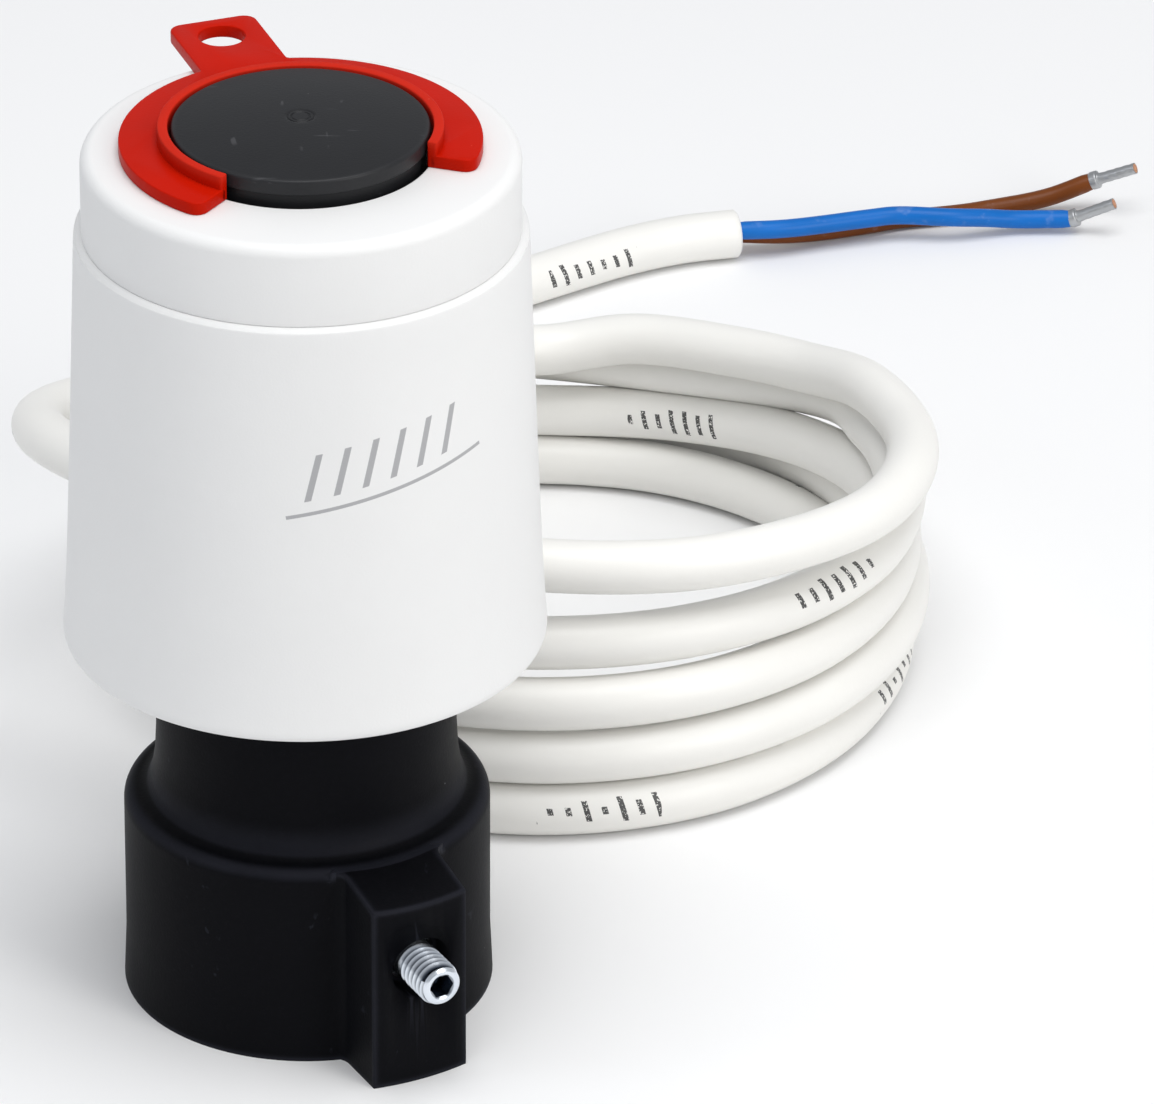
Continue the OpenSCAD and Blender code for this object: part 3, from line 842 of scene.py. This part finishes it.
class ACTUATOR_OT_cable(bpy.types.Operator):
    """Sheathed cable with its strain relief, two wires and their ferrules"""
    bl_idname = "actuator.cable"
    bl_label = "Cable"

    def relief_ribs(self, count):
        low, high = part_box("strain_relief")
        tree = Repeat("strain_relief_ribs", {"Ribs": ("Int", count), "Spacing": ("Float", .0025),
                                             "Rib radius": ("Float", .0042),
                                             "Rib thickness": ("Float", .00045),
                                             "Taper": ("Float", .042)})
        ring = tree.node("GeometryNodeCurveToMesh", {}, {
            "Curve": tree.node("GeometryNodeCurvePrimitiveCircle", {},
                               {"Resolution": 48, "Radius": tree["Rib radius"]}),
            "Profile Curve": tree.node("GeometryNodeCurvePrimitiveCircle", {},
                                       {"Resolution": 12, "Radius": tree["Rib thickness"]})})
        step = tree.node("ShaderNodeCombineXYZ", {}, {2: tree["Spacing"]})
        line = tree.node("GeometryNodeMeshLine", {}, {"Count": tree["Ribs"], "Offset": step})
        size = 1 - tree.node("GeometryNodeInputIndex") * tree["Taper"]
        scale = tree.node("ShaderNodeCombineXYZ", {}, {0: size, 1: size, 2: size})
        ribs = tree.node("GeometryNodeInstanceOnPoints", {},
                         {"Points": line, "Instance": ring, "Scale": scale})
        mesh = tree.mesh(ribs, "white_plastic")
        middle = (low + high) / 2
        mesh.transform(along(Vector((middle.x, high.y - .0158, middle.z)), Vector((0, 1, 0))))
        return place("relief_ribs", mesh, "housing", "white_plastic")

    def execute(self, context):
        s = settings().cable
        line = smooth_line([*LEAD, *coil_points()[2:], *TAIL], 8)
        cable = piece("cable", sheath(line, s.diameter / 2), "housing", "cable_sheath",
                      ["cable_lead", "cable_coil", "cable_tail"], 50)
        ribs = self.relief_ribs(s.ribs)
        blue = wire("wire_blue", BLUE, s.wire / 2, "blue_insulation", "blue_wire")
        brown = wire("wire_brown", BROWN, s.wire / 2, "brown_insulation", "brown_wire")
        ends = [*ferrule("ferrule_blue", Vector(BLUE[-1]), -14, 27, "blue_ferrule"),
                *ferrule("ferrule_brown", Vector(BROWN[-1]), -18, 25, "brown_ferrule")]
        round(line_length(line), 3)
        return {"FINISHED"}


# Housing and disc

class ACTUATOR_OT_housing(bpy.types.Operator):
    """White bell housing and the cap on top of it"""
    bl_idname = "actuator.housing"
    bl_label = "Housing"

    def execute(self, context):
        s = settings().housing
        outer = [Vector((s.bell_radius + MM * r, MM * z)) for r, z in BELL]
        inner = [(.0183, .0752), (.0183, .068), (.0187, .0554), (.01955, .0404), (.01955, .0354)]
        profile = [*smooth_line(outer, 5), *[Vector(p) for p in inner]]
        piece("bell", turned(profile, 224, True), "housing", "white_plastic", ["body_shell"], 40)

        top, cap, window = s.cap_top, s.cap_radius, s.window
        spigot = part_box("cap_seal")[1].x
        outline = [(window, .077, 0), (window, top, .00018), (cap, top, .0011), (cap, .0752, .00015),
                   (spigot, .0752, 0), (spigot, .0736, 0), (spigot - .00095, .0736, 0),
                   (spigot - .00095, .0724, 0), (spigot, .0724, 0), (spigot, .071, .0002),
                   (spigot - .0015, .071, 0), (spigot - .0015, top - .0015, 0),
                   (window + .002, top - .0015, 0), (window + .002, .077, 0)]
        piece("cap", turned(rounded(outline, True, 8), 224, True), "housing", "white_plastic",
              ["top_cap"], 40)
        return {"FINISHED"}


class ACTUATOR_OT_disc(bpy.types.Operator):
    """Black position disc with a faint ring at its centre"""
    bl_idname = "actuator.disc"
    bl_label = "Position disc"

    def execute(self, context):
        s = settings().disc
        low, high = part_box("indicator_disc")
        radius, rim = s.radius, high.z - s.dome

        def crown(r):
            return rim + s.dome * (1 - (r / radius) ** 2)

        outline = [(0, .08385, 0), (.0097, .08385, 0), (.0097, low.z, 0), (.0109, low.z, .0002),
                   (.0109, .08385, 0), (radius, .08385, .0001), (radius, rim, .0003),
                   *[(r, crown(r), 0) for r in (.0106, .0098, .0086, .0072, .0058, .0044, .0032,
                                                 .0022, .0015)]]
        ring = [(.00128, -.00001), (.00122, -.00006), (.00116, -.00007), (.00108, 0), (.00092, 0),
                (.00084, -.00007), (.00078, -.00006), (.00072, 0), (.0003, 0), (0, 0)]
        profile = [*rounded(outline, False, 6), *[Vector((r, crown(r) + d)) for r, d in ring]]
        piece("position_disc", turned(profile, 192), "plunger", "disc_plastic", ["indicator_disc"], 40)
        return {"FINISHED"}


# Clip

def plate(outline, holes, low, high, edge):
    """A flat plate of an outline with holes, its upper and lower edges rounded"""
    shape = bmesh.new()
    edges = []
    for loop in (outline, *holes):
        verts = [shape.verts.new((p.x, p.y, low)) for p in loop]
        edges += [shape.edges.new((a, b)) for a, b in zip(verts, [*verts[1:], verts[0]])]
    made = bmesh.ops.triangle_fill(shape, use_beauty=True, use_dissolve=True, edges=edges)
    faces = [f for f in made["geom"] if isinstance(f, bmesh.types.BMFace)]
    grown = bmesh.ops.extrude_face_region(shape, geom=faces, use_keep_orig=True)
    bmesh.ops.translate(shape, vec=(0, 0, high - low),
                        verts=[v for v in grown["geom"] if isinstance(v, bmesh.types.BMVert)])
    bmesh.ops.recalc_face_normals(shape, faces=shape.faces)
    rims = [e for e in shape.edges if len(e.link_faces) == 2
            and abs(e.verts[0].co.z - e.verts[1].co.z) < 1e-7 and e.calc_face_angle() > 1]
    bmesh.ops.bevel(shape, geom=rims, offset=edge, offset_type="OFFSET", segments=3,
                    profile=.5, affect="EDGES", clamp_overlap=True)
    return shape


def arc(radius, start, end, step=3.0):
    """Outline points of an arc about the origin, its ends left out, angles in degrees"""
    count = max(2, round(abs(end - start) / step))
    return [(radius * math.cos(math.radians(start + (end - start) * k / count)),
             radius * math.sin(math.radians(start + (end - start) * k / count)), 0)
            for k in range(1, count)]


class ACTUATOR_OT_clip(bpy.types.Operator):
    """Red lock clip: an open ring with a raised rim and a pull tab with an eye"""
    bl_idname = "actuator.clip"
    bl_label = "Lock clip"

    def execute(self, context):
        s = settings().clip
        low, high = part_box("lock_clip")
        half = math.degrees(s.opening) / 2
        start, end = half - 90, 270 - half
        inner, outer, tab = .0116, s.radius, .004
        reach = math.degrees(math.acos(tab / outer))
        end_y = s.eye_distance + .0034

        def corner(radius, angle, fillet):
            a = math.radians(angle)
            return (radius * math.cos(a), radius * math.sin(a), fillet)

        outline = [corner(inner + .0002, start, .0002), corner(outer, start, .0011),
                   *arc(outer, start + 3, reach - 1), corner(outer, reach, .0004),
                   (tab, end_y, .0012), (-tab, end_y, .0012), corner(outer, 180 - reach, .0004),
                   *arc(outer, 181 - reach, end - 3), corner(outer, end, .0011),
                   corner(inner + .0002, end, .0002), *arc(inner + .0002, end - 1, start + 1, 2.5)]
        eye = [Vector((s.eye_radius * math.cos(a), s.eye_distance + s.eye_radius * math.sin(a)))
               for a in [math.tau * k / 48 for k in range(48)]]
        shape = plate(rounded(outline), [eye], low.z, low.z + s.thickness, .00018)
        rim = [corner(inner, start, .00015), corner(inner + .0009, start, .00025),
               *arc(inner + .0009, start + 1, end - 1, 2.5), corner(inner + .0009, end, .00025),
               corner(inner, end, .00015), *arc(inner, end - 1, start + 1, 2.5)]
        wall = plate(rounded(rim), [], low.z, high.z, .00022)
        spare = bpy.data.meshes.new("rim")
        wall.to_mesh(spare)
        wall.free()
        shape.from_mesh(spare)
        bpy.data.meshes.remove(spare)
        bmesh.ops.rotate(shape, cent=(0, 0, 0), matrix=Matrix.Rotation(s.turn, 3, "Z"),
                         verts=shape.verts)
        piece("clip", shape, "clip", "red_plastic", ["lock_clip"], 40, False)
        return {"FINISHED"}


# Adapter and screw

def merged_copy(node):
    """A copy of a CAD node's mesh with its triangles joined"""
    shape = bmesh.new()
    shape.from_mesh(frame["nodes"][node].data)
    bmesh.ops.remove_doubles(shape, verts=shape.verts, dist=2e-6)
    bmesh.ops.dissolve_limit(shape, angle_limit=math.radians(.6), verts=shape.verts,
                             edges=shape.edges)
    mesh = bpy.data.meshes.new(node + "_merged")
    shape.to_mesh(mesh)
    shape.free()
    return mesh


class ACTUATOR_OT_adapter(bpy.types.Operator):
    """Black valve adapter with softened moulded edges"""
    bl_idname = "actuator.adapter"
    bl_label = "Valve adapter"

    def execute(self, context):
        mesh = merged_copy("valve_adapter")
        mesh.materials.clear()
        mesh.materials.append(finish("black_plastic"))
        place("adapter", mesh, "housing", "black_plastic", ["valve_adapter"], 32)
        return {"FINISHED"}


class ACTUATOR_OT_screw(bpy.types.Operator):
    """Set screw with a rolled thread and a hexagon socket"""
    bl_idname = "actuator.screw"
    bl_label = "Set screw"

    def execute(self, context):
        s = settings().screw
        matrix = along(SCREW_DIRECTION * (SCREW_END - s.length) + AXIS * SCREW_HEIGHT,
                       SCREW_DIRECTION)
        tree = Repeat("screw_thread", {
            "Turns": ("Float", (s.length - .0011) / s.pitch), "Height": ("Float", s.length - .0011),
            "Centre radius": ("Float", s.radius - s.pitch * .52),
            "Tooth": ("Float", s.pitch * .52)})
        helix = tree.node("GeometryNodeCurveSpiral", {}, {
            "Resolution": 64, "Rotations": tree["Turns"], "Start Radius": tree["Centre radius"],
            "End Radius": tree["Centre radius"], "Height": tree["Height"]})
        upright = tree.node("GeometryNodeSetCurveNormal", {"mode": "Z_UP"}, {"Curve": helix})
        tooth = tree.node("GeometryNodeCurvePrimitiveCircle", {},
                          {"Resolution": 4, "Radius": tree["Tooth"]})
        thread = tree.node("GeometryNodeCurveToMesh", {},
                           {"Curve": upright, "Profile Curve": tooth, "Fill Caps": True})
        mesh = tree.mesh(thread, "zinc_steel")
        mesh.transform(matrix @ Matrix.Translation((0, 0, .00055)))
        place("screw_thread", mesh, "screw", "zinc_steel", (), 50)

        sides, top = 60, s.length

        def hexagon(z):
            ring = []
            for k in range(sides):
                a = math.tau * k / sides
                r = s.flats / 2 / math.cos((a % (math.pi / 3)) - math.pi / 6)
                ring.append(Vector((r * math.cos(a), r * math.sin(a), z)))
            return ring

        outline = [(0, 0), (.0010, 0), (.00115, .0001), (s.core, .0006), (s.core, top - .0004),
                   (.00182, top - .0003), (.00180, top - .0002), (.00158, top - .00003),
                   (.00150, top), (.00128, top), (.00122, top - .00003)]
        shape = skin([*[circle(r, z, sides) for r, z in outline], hexagon(top - .00015),
                      hexagon(top - .0024), circle(0, top - .0028, sides)])
        bmesh.ops.transform(shape, matrix=matrix, verts=shape.verts)
        piece("screw_core", shape, "screw", "zinc_steel", ["set_screw"], 30)
        return {"FINISHED"}


class ACTUATOR_OT_inner_parts(bpy.types.Operator):
    """Finishes of the parts inside the housing"""
    bl_idname = "actuator.inner_parts"
    bl_label = "Inner parts"

    def execute(self, context):
        for part in frame["record"]["subparts"]:
            node = frame["nodes"][part["node"]]
            node.data.materials.clear()
            node.data.materials.append(finish(part["material_slot"]))
        return {"FINISHED"}


class ACTUATOR_PT_head(bpy.types.Panel):
    """The actuator head's pieces and settings"""
    bl_label = "Actuator head"
    bl_space_type = "VIEW_3D"
    bl_region_type = "UI"
    bl_category = "Actuator"

    def draw(self, context):
        for step in STEPS:
            self.layout.operator(step.bl_idname)
        for group in ("housing", "disc", "clip", "adapter", "screw", "cable", "stage"):
            part = getattr(context.scene.actuator_head, group)
            box = self.layout.box()
            box.label(text=group.capitalize())
            for name in part.__annotations__:
                box.prop(part, name)


STEPS = (ACTUATOR_OT_stage, ACTUATOR_OT_cable, ACTUATOR_OT_housing, ACTUATOR_OT_disc,
         ACTUATOR_OT_clip, ACTUATOR_OT_adapter, ACTUATOR_OT_screw, ACTUATOR_OT_inner_parts)
CLASSES = (HousingSettings, DiscSettings, ClipSettings, AdapterSettings, ScrewSettings,
           CableSettings, StageSettings, ActuatorSettings, *STEPS, ACTUATOR_PT_head)


def register():
    for cls in CLASSES:
        bpy.utils.register_class(cls)
    bpy.types.Scene.actuator_head = PointerProperty(type=ActuatorSettings)


def unregister():
    del bpy.types.Scene.actuator_head
    for cls in reversed(CLASSES):
        bpy.utils.unregister_class(cls)


def main():
    register()
    bpy.ops.actuator.stage()
    bpy.ops.actuator.cable()
    bpy.ops.actuator.housing()
    bpy.ops.actuator.disc()
    bpy.ops.actuator.clip()
    bpy.ops.actuator.adapter()
    bpy.ops.actuator.screw()
    bpy.ops.actuator.inner_parts()


if __name__ == "__main__":
    main()
